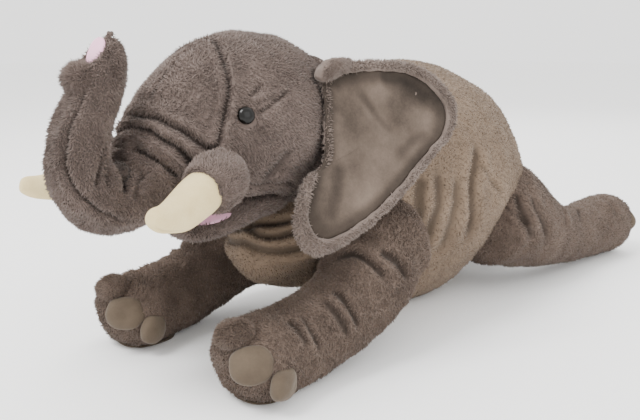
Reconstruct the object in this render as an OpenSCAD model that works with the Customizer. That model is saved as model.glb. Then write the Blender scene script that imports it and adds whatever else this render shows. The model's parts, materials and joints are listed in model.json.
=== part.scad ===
// Large plush elephant lying on its belly with its trunk raised.
// Origin on the flat of the belly; -Y is forward, +X its left side, +Z up. Millimetres.

/* [Torso] */
// Length of the torso from chest to rump
torso_l = 362; // [350:1:440]
// Width of the torso at the belly
torso_w = 216; // [180:1:262]
// Height of the torso from the belly flat to the back
torso_h = 252; // [238:1:304]

/* [Head] */
// Width of the head across the cheeks
head_w = 154; // [150:1:186]
// Length of one tusk outside its pouch
tusk_l = 62; // [52:1:76]
// Diameter of a tusk at its root
tusk_d = 33; // [28:1:36]
// Diameter of an eye
eye_d = 13; // [10:0.5:16]

/* [Trunk] */
// Width of the trunk at its root
trunk_d = 66; // [56:1:72]
// Height of the trunk tip above the trunk root
trunk_rise = 92; // [76:1:112]

/* [Ears] */
// Size of an ear from its seam to its far edge
ear_l = 136; // [112:1:150]
// Thickness of the ear plush between the faces
ear_t = 4; // [3:0.5:6]
// Height of the rolled edge above the lining side
ear_roll = 4; // [2:0.5:6]

/* [Legs] */
// Reach of a foreleg from the shoulder centre to the toe
fore_l = 194; // [162:1:233]
// Reach of a hind leg from the hip centre to the toe
hind_l = 260; // [217:1:312]
// Thickness of a leg at the ankle
leg_d = 66; // [58:1:72]

/* [Cloth] */
// Thickness of the plush with its backing
skin = 4; // [3:0.5:5]
// Thickness of a sole pad
sole_t = 3; // [2:0.5:4]
// Clearance between two sewn sections that move
gap = 0.5; // [0.4:0.1:0.8]
// Clearance between a cover and what fills it
fill_gap = 0.3; // [0.2:0.1:0.5]

/* [Hidden] */
$fn = 64;
low = -1000;
tw = torso_w / 2;
th = torso_h / 2;
neck = [0, -155, 190];
neck_r = 68;
shoulder = [0.324 * torso_w, -118, 88];
shoulder_r = 50;
hip = [0.306 * torso_w, 110, 80];
hip_r = 60;
fore_dir = unit([14, -32, -22]);
hind_dir = unit([16, 40, -18]);
tail_root = [0, 0.468 * torso_l, 0.544 * torso_h];
tail_r = 9;
trunk_root = [0, -300, 178];
trunk_r = 38;
jaw_root = [0, -222, 136];
jaw_r = 14;
hw = head_w / 2;
hr = head_w / 154;
ear_mid = [hw + 1.5, -193, 205];
ear_up = unit([-20, 19, 81]);
ear_out = unit([0.921, -0.259, 0.288] - ear_up * ([0.921, -0.259, 0.288] * ear_up));
ear_back = cross(ear_out, ear_up) * -1;
ear_root_r = 5;
pouch_at = [hw - 14, -292, 171];
tusk_dir = unit([16, -56, -16]);
pouch_r = tusk_d / 2 + 6.5;
pouch_l = 20;
eye_at = [hw - 15.6, -262, 216];
eye_dir = unit([0.86, -0.39, 0.32]);
seat = 1.5;
mouth_tilt = 6.2;
tongue_tilt = 21.3;

// ---------- curves and lofts ----------
function unit(v) = v / norm(v);
function xyz(s) = [s[0], s[1], s[2]];
function cr(a, b, c, d, t) =
    0.5 * (2 * b + (c - a) * t + (2 * a - 5 * b + 4 * c - d) * t * t
           + (3 * b - a - 3 * c + d) * t * t * t);

// Stations joined by a smooth curve with k steps between neighbours.
function smooth(S, k) = let (n = len(S) - 1) concat(
    [for (i = [0:n - 1]) for (j = [0:k - 1])
        cr(S[max(i - 1, 0)], S[i], S[i + 1], S[min(i + 2, n)], j / k)],
    [S[n]]);

// Rings on a ball of radius r about c, from its far pole round to its equator.
function ball(c, r, d, n) = [for (i = [0:n - 1]) let (p = 14 + i * 76 / n)
    concat(c - d * r * cos(p), [r * sin(p), r * sin(p)])];

function tang(S, i) = unit(xyz(S[min(i + 1, len(S) - 1)]) - xyz(S[max(i - 1, 0)]));
function sp(v, q) = sign(v) * pow(abs(v), q);
function lift(p, z) = [p[0], p[1], max(p[2], z)];

// One ring of m points; e narrows its lower half, q squares it, z is the floor it rests on.
function ring(s, t, m, q, z) = let (
    u = unit([1, 0, 0] - t * t[0]), n = cross(u, t), e = len(s) > 5 ? s[5] : 0)
    [for (j = [0:m - 1]) let (
        c = sp(cos(360 * j / m), q), v = sp(sin(360 * j / m), q), d = n[2] * v,
        f = d < 0 ? 1 + e * d : 1)
        lift(xyz(s) + u * (s[3] * c * f) + n * (s[4] * v), z)];

// A loft is its rings and the two points that close its ends; its first k rings stay round.
function loft(S, m, q = 1, z = low, k = 0) = [
    [for (i = [0:len(S) - 1]) ring(S[i], tang(S, i), m, i < k ? 1 : q, z)],
    lift(xyz(S[0]), z), lift(xyz(S[len(S) - 1]), z),
    tang(S, 0), tang(S, len(S) - 1)];

// The same loft moved inwards by d along its own normals.
function inset(L, d) = let (G = L[0], n = len(G), m = len(G[0])) [
    [for (i = [0:n - 1]) [for (j = [0:m - 1]) let (
        a = i == 0 ? L[1] : G[i - 1][j], b = i == n - 1 ? L[2] : G[i + 1][j],
        v = cross(b - a, G[i][(j + 1) % m] - G[i][(j + m - 1) % m]))
        G[i][j] - d * unit(v)]],
    L[1] + d * L[3], L[2] - d * L[4], L[3], L[4]];

module solid(L) {
    G = L[0];
    n = len(G);
    m = len(G[0]);
    pts = concat([for (r = G) for (p = r) p], [L[1], L[2]]);
    side = [for (i = [0:n - 2]) for (j = [0:m - 1]) let (
        a = i * m + j, b = i * m + (j + 1) % m, c = b + m, d = a + m)
        each [[a, b, c], [a, c, d]]];
    head = [for (j = [0:m - 1]) [n * m, (j + 1) % m, j]];
    tail = [for (j = [0:m - 1]) [n * m + 1, (n - 1) * m + j, (n - 1) * m + (j + 1) % m]];
    polyhedron(concat(pts), concat(side, head, tail), convexity = 8);
}

module sides(side) {
    if (side > 0) children();
    else mirror([1, 0, 0]) children();
}

// Places children with their Z axis along d, at p.
module along(p, d) {
    translate(p)
        rotate([0, acos(unit(d)[2]), atan2(d[1], d[0])])
            children();
}

// ---------- torso ----------
torso_path = loft(smooth([
    [0, -0.492 * torso_l, 86, 14, 15, 0.2],
    [0, -0.459 * torso_l, 86, 38, 32, 0.3],
    [0, -0.415 * torso_l, 93, 57, 54, 0.4],
    [0, -0.345 * torso_l, 0.86 * th, 0.72 * tw, 0.69 * th, 0.45],
    [0, -0.193 * torso_l, 0.975 * th, 0.93 * tw, 0.94 * th, 0.35],
    [0, 0, 0.975 * th, tw, 1.03 * th, 0.12],
    [0, 0.166 * torso_l, 0.95 * th, 0.98 * tw, 0.955 * th, 0.15],
    [0, 0.318 * torso_l, 0.84 * th, 0.83 * tw, 0.74 * th, 0.4],
    [0, 0.442 * torso_l, 0.74 * th, 0.53 * tw, 0.48 * th, 0.3],
    [0, 0.503 * torso_l, 0.69 * th, 0.19 * tw, 0.18 * th, 0.1]], 2), 24, 1, 0);

module torso_sockets(e) {
    translate(neck) sphere(neck_r + gap + e);
    translate(tail_root) sphere(tail_r + gap + e);
    translate(tail_root) rotate([-90, 0, 0]) cylinder(r = tail_r + 3 * gap + e, h = 3 * tail_r);
    for (s = [1, -1]) sides(s) {
        translate(shoulder) sphere(shoulder_r + gap + e);
        translate(shoulder + fore_dir * 20) sphere(shoulder_r + 2 * gap + e);
        translate(hip) sphere(hip_r + gap + e);
        translate(hip + hind_dir * 24) sphere(hip_r + 2 * gap + e);
    }
}

module torso_volume(d) {
    difference() {
        solid(d == 0 ? torso_path : inset(torso_path, d));
        torso_sockets(d);
    }
}

module torso_cover() {
    color([0.45, 0.40, 0.37]) difference() {
        torso_volume(0);
        torso_volume(skin);
    }
}

module torso_stuffing() {
    color([0.95, 0.95, 0.93]) torso_volume(skin + fill_gap);
}

// ---------- tail ----------
tail_path = loft(concat(ball(tail_root, tail_r, unit([0, 1, 0.2]), 3), smooth([
    concat(tail_root, [tail_r, tail_r]),
    concat(tail_root + [0, 14, 1], [8, 8]),
    concat(tail_root + [0, 27, -10], [7.5, 7.5]),
    concat(tail_root + [0, 33, -34], [7, 7]),
    concat(tail_root + [0, 35, -62], [6.5, 6.5]),
    concat(tail_root + [0, 35, -80], [6, 6])], 2)), 12);
tuft_path = loft(smooth([
    concat(tail_root + [0, 35, -80 - 4 * fill_gap], [5, 5]),
    concat(tail_root + [0, 36, -88], [10, 10]),
    concat(tail_root + [0, 36, -102], [11, 11]),
    concat(tail_root + [0, 35, -114], [5, 5])], 2), 12);

module tail() {
    color([0.45, 0.40, 0.37]) solid(tail_path);
}

module tail_tuft() {
    color([0.28, 0.25, 0.24]) solid(tuft_path);
}

// ---------- head ----------
head_path = loft(concat(ball(neck, neck_r, unit([0, -1, 0.1]), 4), smooth([
    concat(neck, [neck_r, neck_r]),
    [0, -168, 194, 67, 66.5],
    [0, -190, 200, 0.985 * hw, 75 * hr],
    [0, -222, 202, hw, 77 * hr],
    [0, -258, 195, 0.87 * hw, 66 * hr],
    [0, -284, 186, 0.72 * hw, 55 * hr],
    [0, -300, 180, 46, 46],
    [0, -306, 178, 22, 22]], 2)), 24);

// Everything below the palate, back to the barrel the jaw turns in.
module mouth_space(e) {
    translate(jaw_root) rotate([0, 90, 0]) cylinder(r = jaw_r + gap + e, h = 110, center = true);
    translate(jaw_root) rotate([mouth_tilt, 0, 0])
        translate([-60, -110, jaw_r + gap + e - 70]) cube([120, 110, 70]);
}

module eye_seat(e) {
    along(eye_at - eye_dir * (seat + e), eye_dir) cylinder(r = eye_d / 2 + fill_gap + e, h = 20);
}

module pouch_shape(e) {
    translate(pouch_at) sphere(pouch_r + e);
    along(pouch_at, tusk_dir) cylinder(r = pouch_r + e, h = pouch_l + e);
}

module head_cuts(e) {
    translate(trunk_root) sphere(trunk_r + gap + e);
    mouth_space(e);
    for (s = [1, -1]) sides(s) {
        along(ear_mid - ear_up * 60, ear_up) cylinder(r = ear_root_r + gap + e, h = 120);
        pouch_shape(fill_gap + e);
        eye_seat(e);
    }
}

module head_volume(d) {
    difference() {
        solid(d == 0 ? head_path : inset(head_path, d));
        head_cuts(d);
    }
}

module head_cover() {
    color([0.45, 0.40, 0.37]) difference() {
        head_volume(0);
        head_volume(skin);
        for (s = [1, -1]) sides(s)
            along(eye_at - eye_dir * 12, eye_dir) cylinder(r = 2 + fill_gap, h = 14);
    }
}

module head_stuffing() {
    color([0.95, 0.95, 0.93]) difference() {
        head_volume(skin + 2 * fill_gap);
        for (s = [1, -1]) sides(s)
            along(eye_at - eye_dir * 18, eye_dir) cylinder(r = 8, h = 16);
    }
}

module eye(side) {
    color([0.02, 0.02, 0.02]) sides(side) along(eye_at - eye_dir * (seat - 0.2), eye_dir) {
        intersection() {
            translate([0, 0, -eye_d * 0.05]) sphere(eye_d / 2);
            cylinder(r = eye_d, h = eye_d);
        }
        translate([0, 0, -11]) cylinder(r = 2, h = 12);
    }
}

module eye_washer(side) {
    color([0.85, 0.85, 0.85]) sides(side)
        along(eye_at - eye_dir * (seat + skin + 2), eye_dir) difference() {
            cylinder(r = 7, h = 1.5);
            translate([0, 0, -1]) cylinder(r = 2 + fill_gap / 2, h = 4);
        }
}

module palate_lining() {
    color([0.85, 0.62, 0.68]) translate(jaw_root) rotate([mouth_tilt, 0, 0])
        translate([0, -39, jaw_r + gap - 1.4]) linear_extrude(1.2)
            scale([26, 20]) circle(1, $fn = 32);
}

// ---------- tusks ----------
tusk_r = tusk_d / 2;
tusk_from = pouch_at + tusk_dir * (pouch_l - 13);
tusk_lip = pouch_at + tusk_dir * pouch_l;
tusk_path = loft(smooth([
    concat(tusk_from, [tusk_r, tusk_r]),
    concat(tusk_lip, [tusk_r, tusk_r]),
    concat(tusk_lip + tusk_l * [0.08, -0.26, -0.1], [0.94 * tusk_r, 0.94 * tusk_r]),
    concat(tusk_lip + tusk_l * [0.17, -0.51, -0.17], [0.82 * tusk_r, 0.82 * tusk_r]),
    concat(tusk_lip + tusk_l * [0.26, -0.75, -0.18], [0.66 * tusk_r, 0.66 * tusk_r]),
    concat(tusk_lip + tusk_l * [0.32, -0.91, -0.16], [0.5 * tusk_r, 0.5 * tusk_r]),
    concat(tusk_lip + tusk_l * [0.35, -0.98, -0.14], [3, 3])], 1), 16);

module tusk_pouch(side) {
    color([0.45, 0.40, 0.37]) sides(side) difference() {
        pouch_shape(0);
        along(pouch_at + tusk_dir * (pouch_l - 13.5), tusk_dir)
            cylinder(r = tusk_r + fill_gap, h = 30);
    }
}

module tusk_cover(side) {
    color([0.93, 0.88, 0.70]) sides(side) difference() {
        solid(tusk_path);
        solid(inset(tusk_path, 2));
    }
}

module tusk_stuffing(side) {
    color([0.95, 0.95, 0.93]) sides(side) solid(inset(tusk_path, 2 + fill_gap));
}

// ---------- jaw ----------
jaw_path = loft(concat(
    [for (p = [25, 50, 70]) [0, jaw_root[1] + jaw_r * cos(p), jaw_root[2],
        38 - 8 * cos(p), jaw_r * sin(p)]],
    smooth([
        [0, jaw_root[1], jaw_root[2], 38, jaw_r],
        [0, -242, 132.5, 37, 13.4],
        [0, -258, 126.5, 33, 12],
        [0, -270, 121, 25, 9.5],
        [0, -277, 118, 12, 4.5]], 2)), 20);

module tongue_space(e) {
    translate([0, -238, 139.8]) rotate([tongue_tilt, 0, 0])
        translate([-50, -90, -e]) cube([100, 90, 40]);
}

module jaw_volume(d) {
    difference() {
        solid(d == 0 ? jaw_path : inset(jaw_path, d));
        tongue_space(d);
    }
}

module jaw_cover() {
    color([0.45, 0.40, 0.37]) difference() {
        jaw_volume(0);
        jaw_volume(skin * 0.75);
    }
}

module jaw_stuffing() {
    color([0.95, 0.95, 0.93]) jaw_volume(skin * 0.75 + fill_gap);
}

module jaw_lining() {
    color([0.85, 0.62, 0.68]) translate([0, -238, 139.8]) rotate([tongue_tilt, 0, 0])
        translate([0, -19, 0.1]) linear_extrude(1.2) scale([25, 16]) circle(1, $fn = 32);
}

// ---------- trunk ----------
td = trunk_d / 2;
tz = trunk_rise / 92;
trunk_path = loft(concat(ball(trunk_root, trunk_r, unit([0, -0.83, -0.56]), 4), smooth([
    concat(trunk_root, [trunk_r, trunk_r]),
    [0, -325, 160, 1.03 * td, 0.86 * td],
    [0, -350, 154, 0.92 * td, 0.76 * td],
    [0, -370, 170, 0.87 * td, 0.74 * td],
    [0, -371, 178 + 24 * tz, 0.82 * td, 0.74 * td],
    [0, -357, 178 + 54 * tz, 0.73 * td, 0.69 * td],
    [0, -346, 178 + 76 * tz, 0.6 * td, 0.58 * td],
    [0, -341, 178 + 92 * tz, 0.38 * td, 0.34 * td],
    [0, -341, 178 + 97 * tz, 0.12 * td, 0.12 * td]], 2)), 18);
nostril_at = [0, -350, 178 + 84 * tz];
nostril_dir = unit([0, -0.85, 0.5]);

module nostril(e) {
    along(nostril_at - nostril_dir * e, nostril_dir) cylinder(r = 9 + e, h = 30);
}

module trunk_volume(d) {
    difference() {
        solid(d == 0 ? trunk_path : inset(trunk_path, d));
        nostril(d);
    }
}

module trunk_cover() {
    color([0.45, 0.40, 0.37]) difference() {
        trunk_volume(0);
        trunk_volume(skin);
    }
}

module trunk_stuffing() {
    color([0.95, 0.95, 0.93]) trunk_volume(skin + fill_gap);
}

module nostril_lining() {
    color([0.85, 0.62, 0.68]) along(nostril_at + nostril_dir * 0.1, nostril_dir)
        cylinder(r = 9 - fill_gap, h = 1.5);
}

module trunk_tip_lip() {
    color([0.45, 0.40, 0.37]) difference() {
        translate([0, -371, 178 + 68 * tz]) sphere(11);
        solid(inset(trunk_path, -0.1));
    }
}

// ---------- ears ----------
es = ear_l / 136;
// Outline from the seam, over the top and round to the hanging lobe: back, up.
ear_edge = smooth([for (p = [[0, 42], [24, 54], [56, 60], [90, 62], [116, 52], [133, 30], [129, 6],
    [110, -14], [90, -34], [70, -54], [42, -78], [10, -98], [-13, -104], [-26, -91],
    [-27, -68], [-16, -46], [0, -36], [0, 4], [0, 42]]) p * es], 2);
ear_n = len(ear_edge) - 1;
ear_core = [46, -8] * es;

function ear_point(r, j, h) = let (p = ear_core + (ear_edge[j % ear_n] - ear_core) * r)
    ear_mid + ear_back * p[0] + ear_up * p[1] + ear_out * (h + 5 * (r * r - 1));

// Closed plate between two faces; F and B list radius and height from core to edge.
module plate(F, B) {
    rings = concat(F, [for (i = [len(B) - 1:-1:0]) B[i]]);
    n = len(rings);
    pts = concat([for (q = rings) for (j = [0:ear_n - 1]) ear_point(q[0], j, q[1])],
        [ear_point(0, 0, F[0][1]), ear_point(0, 0, B[0][1])]);
    side = [for (i = [0:n - 2]) for (j = [0:ear_n - 1]) let (
        a = i * ear_n + j, b = i * ear_n + (j + 1) % ear_n, c = b + ear_n, d = a + ear_n)
        each [[a, c, b], [a, d, c]]];
    front = [for (j = [0:ear_n - 1]) [n * ear_n, j, (j + 1) % ear_n]];
    back = [for (j = [0:ear_n - 1]) let (k = (n - 1) * ear_n)
        [n * ear_n + 1, k + (j + 1) % ear_n, k + j]];
    polyhedron(pts, concat(side, front, back), convexity = 6);
}

module ear_plush(side) {
    h = ear_t / 2;
    color([0.45, 0.40, 0.37]) sides(side) plate(
        [[0.45, h], [0.86, h], [0.885, h + 0.8 * ear_roll], [0.93, h + ear_roll],
         [0.98, h + 0.7 * ear_roll], [1, h]],
        [[0.45, -h], [0.97, -h], [1, -0.6 * h]]);
}

module ear_lining(side) {
    h = ear_t / 2 + 0.1;
    color([0.36, 0.33, 0.32]) sides(side) plate(
        [[0.45, h + 1.5], [0.845, h + 1.5]],
        [[0.45, h], [0.845, h]]);
}

// ---------- legs ----------
ld = leg_d / 2;
fs = fore_l / 194;
fore_path = loft(concat(ball(shoulder, shoulder_r, fore_dir, 4), smooth([
    concat(shoulder, [shoulder_r, shoulder_r]),
    concat(shoulder + [14, -32, -22], [40, 44]),
    concat([shoulder[0] + 18, shoulder[1] - 67 * fs, 47], [1.0 * ld, 1.12 * ld]),
    concat([shoulder[0] + 16, shoulder[1] - 104 * fs, 36], [0.97 * ld, 1.08 * ld]),
    concat([shoulder[0] + 14, shoulder[1] - 134 * fs, 34], [1.13 * ld, 1.1 * ld]),
    concat([shoulder[0] + 12, shoulder[1] - 164 * fs, 32], [1.2 * ld, 1.02 * ld]),
    concat([shoulder[0] + 12, shoulder[1] - 184 * fs, 29], [0.95 * ld, 0.82 * ld]),
    concat([shoulder[0] + 12, shoulder[1] - 194 * fs, 27], [0.4 * ld, 0.4 * ld])], 2)),
    18, 0.85, sole_t, 7);
fore_toe = [shoulder[0] + 12, shoulder[1] - 178 * fs, 31];

hs = hind_l / 260;
hind_path = loft(concat(ball(hip, hip_r, hind_dir, 4), smooth([
    concat(hip, [hip_r, hip_r]),
    concat(hip + [16, 40, -18], [46, 50]),
    concat([hip[0] + 24, hip[1] + 82 * hs, 50], [1.06 * ld, 1.18 * ld]),
    concat([hip[0] + 27, hip[1] + 130 * hs, 42], [0.94 * ld, 1.06 * ld]),
    concat([hip[0] + 29, hip[1] + 180 * hs, 40], [1.0 * ld, 1.12 * ld]),
    concat([hip[0] + 30, hip[1] + 222 * hs, 39], [1.1 * ld, 1.18 * ld]),
    concat([hip[0] + 30, hip[1] + 248 * hs, 40], [0.92 * ld, 0.98 * ld]),
    concat([hip[0] + 30, hip[1] + 260 * hs, 41], [0.4 * ld, 0.42 * ld])], 2)),
    18, 0.9, 0, 7);
hind_toe = [hip[0] + 30, hip[1] + 246 * hs, 43];

module leg_cover(side, path) {
    color([0.45, 0.40, 0.37]) sides(side) difference() {
        solid(path);
        solid(inset(path, skin));
    }
}

module leg_stuffing(side, path) {
    color([0.95, 0.95, 0.93]) sides(side) solid(inset(path, skin + fill_gap));
}

module foresole(side) {
    color([0.50, 0.47, 0.42]) sides(side)
        translate([fore_toe[0], shoulder[1] - 156 * fs, 0]) linear_extrude(sole_t - 0.1)
            scale([0.8 * ld, 1.0 * ld]) circle(1, $fn = 32);
}

// A padded nail that stands on the front of a foot.
module nail(side, path, p, r) {
    color([0.50, 0.47, 0.40]) sides(side) difference() {
        translate(p) sphere(r, $fn = 24);
        solid(inset(path, -0.1));
    }
}

// Both front feet are turned the same way, so their nails stand alike.
module forenail(side, k) {
    j = side * k;
    o = j == 0 ? [27, -8, 12] : j > 0 ? [38, 11, -6] : [2, -7, 24];
    nail(side, fore_path, fore_toe + [side * o[0], o[1], o[2]], k == 0 ? 15 : 13);
}

module hindnail(side, k) {
    nail(side, hind_path, hind_toe + [k * 22, 7 - 5 * abs(k), 10 - 11 * abs(k)],
         k == 0 ? 15 : 13);
}

// ---------- assembly ----------
torso_cover();
torso_stuffing();
tail();
tail_tuft();
head_cover();
head_stuffing();
eye(1);  // eye_left
eye(-1);  // eye_right
eye_washer(1);  // eye_washer_left
eye_washer(-1);  // eye_washer_right
palate_lining();
tusk_pouch(1);  // tusk_pouch_left
tusk_pouch(-1);  // tusk_pouch_right
tusk_cover(1);  // tusk_cover_left
tusk_cover(-1);  // tusk_cover_right
tusk_stuffing(1);  // tusk_stuffing_left
tusk_stuffing(-1);  // tusk_stuffing_right
jaw_cover();
jaw_stuffing();
jaw_lining();
trunk_cover();
trunk_stuffing();
nostril_lining();
trunk_tip_lip();
ear_plush(1);  // ear_plush_left
ear_plush(-1);  // ear_plush_right
ear_lining(1);  // ear_lining_left
ear_lining(-1);  // ear_lining_right
leg_cover(1, fore_path);  // foreleg_cover_left
leg_cover(-1, fore_path);  // foreleg_cover_right
leg_stuffing(1, fore_path);  // foreleg_stuffing_left
leg_stuffing(-1, fore_path);  // foreleg_stuffing_right
foresole(1);  // foresole_left
foresole(-1);  // foresole_right
forenail(1, -1);  // forenail_inner_left
forenail(-1, -1);  // forenail_inner_right
forenail(1, 0);  // forenail_middle_left
forenail(-1, 0);  // forenail_middle_right
forenail(1, 1);  // forenail_outer_left
forenail(-1, 1);  // forenail_outer_right
leg_cover(1, hind_path);  // hindleg_cover_left
leg_cover(-1, hind_path);  // hindleg_cover_right
leg_stuffing(1, hind_path);  // hindleg_stuffing_left
leg_stuffing(-1, hind_path);  // hindleg_stuffing_right
hindnail(1, -1);  // hindnail_inner_left
hindnail(-1, -1);  // hindnail_inner_right
hindnail(1, 0);  // hindnail_middle_left
hindnail(-1, 0);  // hindnail_middle_right
hindnail(1, 1);  // hindnail_outer_left
hindnail(-1, 1);  // hindnail_outer_right
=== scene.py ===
import json
import logging
import math
from collections.abc import Callable
from dataclasses import dataclass, field, replace
from enum import Enum

import bpy
import numpy as np
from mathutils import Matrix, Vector
from numpy.typing import NDArray

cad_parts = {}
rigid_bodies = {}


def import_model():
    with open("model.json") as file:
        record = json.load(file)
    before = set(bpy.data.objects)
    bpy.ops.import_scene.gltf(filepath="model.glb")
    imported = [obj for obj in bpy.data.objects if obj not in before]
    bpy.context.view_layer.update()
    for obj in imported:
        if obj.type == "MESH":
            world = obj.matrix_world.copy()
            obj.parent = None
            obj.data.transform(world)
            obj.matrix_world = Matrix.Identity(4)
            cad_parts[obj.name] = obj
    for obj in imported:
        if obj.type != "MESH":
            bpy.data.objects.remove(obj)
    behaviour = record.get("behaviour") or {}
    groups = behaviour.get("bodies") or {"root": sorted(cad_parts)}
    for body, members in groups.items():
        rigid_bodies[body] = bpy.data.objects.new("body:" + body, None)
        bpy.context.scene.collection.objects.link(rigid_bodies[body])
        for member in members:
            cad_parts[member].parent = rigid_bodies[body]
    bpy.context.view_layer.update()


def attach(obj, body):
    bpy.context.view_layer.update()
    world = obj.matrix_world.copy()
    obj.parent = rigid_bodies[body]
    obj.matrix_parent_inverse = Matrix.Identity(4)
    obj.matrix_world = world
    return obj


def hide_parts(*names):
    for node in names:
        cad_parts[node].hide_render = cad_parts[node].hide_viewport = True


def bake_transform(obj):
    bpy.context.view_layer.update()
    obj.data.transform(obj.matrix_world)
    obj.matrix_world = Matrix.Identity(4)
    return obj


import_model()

LOG = logging.getLogger("stuffed_elephant")
Array = NDArray[np.float64]
Vec = tuple[float, float, float]
Colour = tuple[float, float, float]
MM = 0.001


# ---------- curves, grids and relief ----------
def unit(v: Array) -> Array:
    """v divided by its length along the last axis."""
    return v / np.maximum(np.linalg.norm(v, axis=-1, keepdims=True), 1e-12)


def smooth_rows(rows: Array, steps: int) -> Array:
    """Joins rows of numbers by a smooth curve.

    Between rows b and c the value is half of 2b + (c-a)t + (2a-5b+4c-d)t^2 + (3b-a-3c+d)t^3.

    Args:
        rows: stations, one a row.
        steps: new rows between two stations.

    Returns:
        The finer rows, the last station among them.
    """
    n = len(rows) - 1
    i = np.repeat(np.arange(n), steps)
    t = np.tile(np.arange(steps) / steps, n)[:, None]
    a, b, c, d = rows[np.maximum(i - 1, 0)], rows[i], rows[i + 1], rows[np.minimum(i + 2, n)]
    mid = 2 * b + (c - a) * t + (2 * a - 5 * b + 4 * c - d) * t**2 + (3 * b - a - 3 * c + d) * t**3
    return np.vstack([0.5 * mid, rows[-1:]])


def even_rows(rows: Array, count: int) -> Array:
    """Spreads stations evenly along the length their centres and half-sizes travel.

    Args:
        rows: fine stations.
        count: how many to return.

    Returns:
        Rows read off at equal steps of that length.
    """
    walked = np.concatenate([[0], np.cumsum(np.linalg.norm(np.diff(rows[:, :5], axis=0), axis=1))])
    at = np.linspace(0, walked[-1], count)
    return np.stack([np.interp(at, walked, column) for column in rows.T], axis=1)


def signed_power(v: Array, q: float) -> Array:
    """v to the power q with its sign kept."""
    return np.sign(v) * np.abs(v) ** q


def ease(v: Array, low: float, high: float) -> Array:
    """0 below low, 1 above high, 3t^2 - 2t^3 between."""
    t = np.clip((v - low) / (high - low), 0, 1)
    return t * t * (3 - 2 * t)


def lumps(p: Array, wave: float, seed: int) -> Array:
    """Soft unevenness of stuffing: the mean of 14 sine waves of random direction about one wavelength.

    Args:
        p: points in millimetres.
        wave: wavelength in millimetres.
        seed: seed of the directions and phases.

    Returns:
        Heights between about -1 and 1.
    """
    rng = np.random.default_rng(seed)
    k = unit(rng.normal(size=(14, 3))) * (2 * math.pi / wave) * rng.uniform(0.7, 1.4, (14, 1))
    return np.sin(p @ k.T + rng.uniform(0, 6.28, 14)).sum(-1) / 5.3


FADE_SHARE = 0.22  # share of a fold's length over which it fades at each end
CREASE_SHADE_DEPTH = 2.4  # depth of a crease at which its painted shade is full, millimetres
CORE_MARGIN = 1.25  # how far a filling stays inside its skin, in thicknesses
CORE_LEAST = 0.12  # smallest share of a ring that a filling keeps
CORE_RAMP = 13  # rings over which a filling narrows to its ends
CORE_TIP = 0.05  # share left at the very end
END_STEP = 0.22  # how far a tube's rounded end reaches, in radii
END_SHARE = 0.1  # radius left at a tube's end
THIRDS = (0.0, 2.0944, 4.1888)  # a full turn in three, radians


@dataclass(frozen=True)
class Fold:
    """A seam or soft fold: the fabric dips along a path and swells beside it, all in millimetres."""

    path: tuple[Vec, ...]
    depth: float = 2.4
    width: float = 2.2
    puff: float = 0.35
    fades: bool = True
    both: bool = True

    def relief(self, p: Array) -> Array:
        """Height at points p.

        With d the distance to the path it is -depth exp(-(d/width)^2)
        + puff depth exp(-((d - 2.3 width)/(1.3 width))^2), brought to nothing at the path's ends
        where it fades.

        Args:
            p: points, the last axis x, y, z.

        Returns:
            Signed heights.
        """
        q = np.concatenate([np.abs(p[..., :1]), p[..., 1:]], axis=-1) if self.both else p
        line = smooth_rows(np.array(self.path, float), 4)
        best = np.full(q.shape[:-1], 1e9)
        where = np.zeros(q.shape[:-1])
        for k, (a, b) in enumerate(zip(line[:-1], line[1:])):
            t = np.clip((q - a) @ (b - a) / max((b - a) @ (b - a), 1e-9), 0, 1)
            d = np.linalg.norm(q - (a + t[..., None] * (b - a)), axis=-1)
            near = d < best
            best = np.where(near, d, best)
            where = np.where(near, (k + t) / (len(line) - 1), where)
        dip = np.exp(-((best / self.width) ** 2))
        swell = np.exp(-(((best - 2.3 * self.width) / (1.3 * self.width)) ** 2))
        fade = ease(where, 0, FADE_SHARE) * ease(1 - where, 0, FADE_SHARE) if self.fades else 1.0
        return self.depth * (self.puff * swell - dip) * fade


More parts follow.
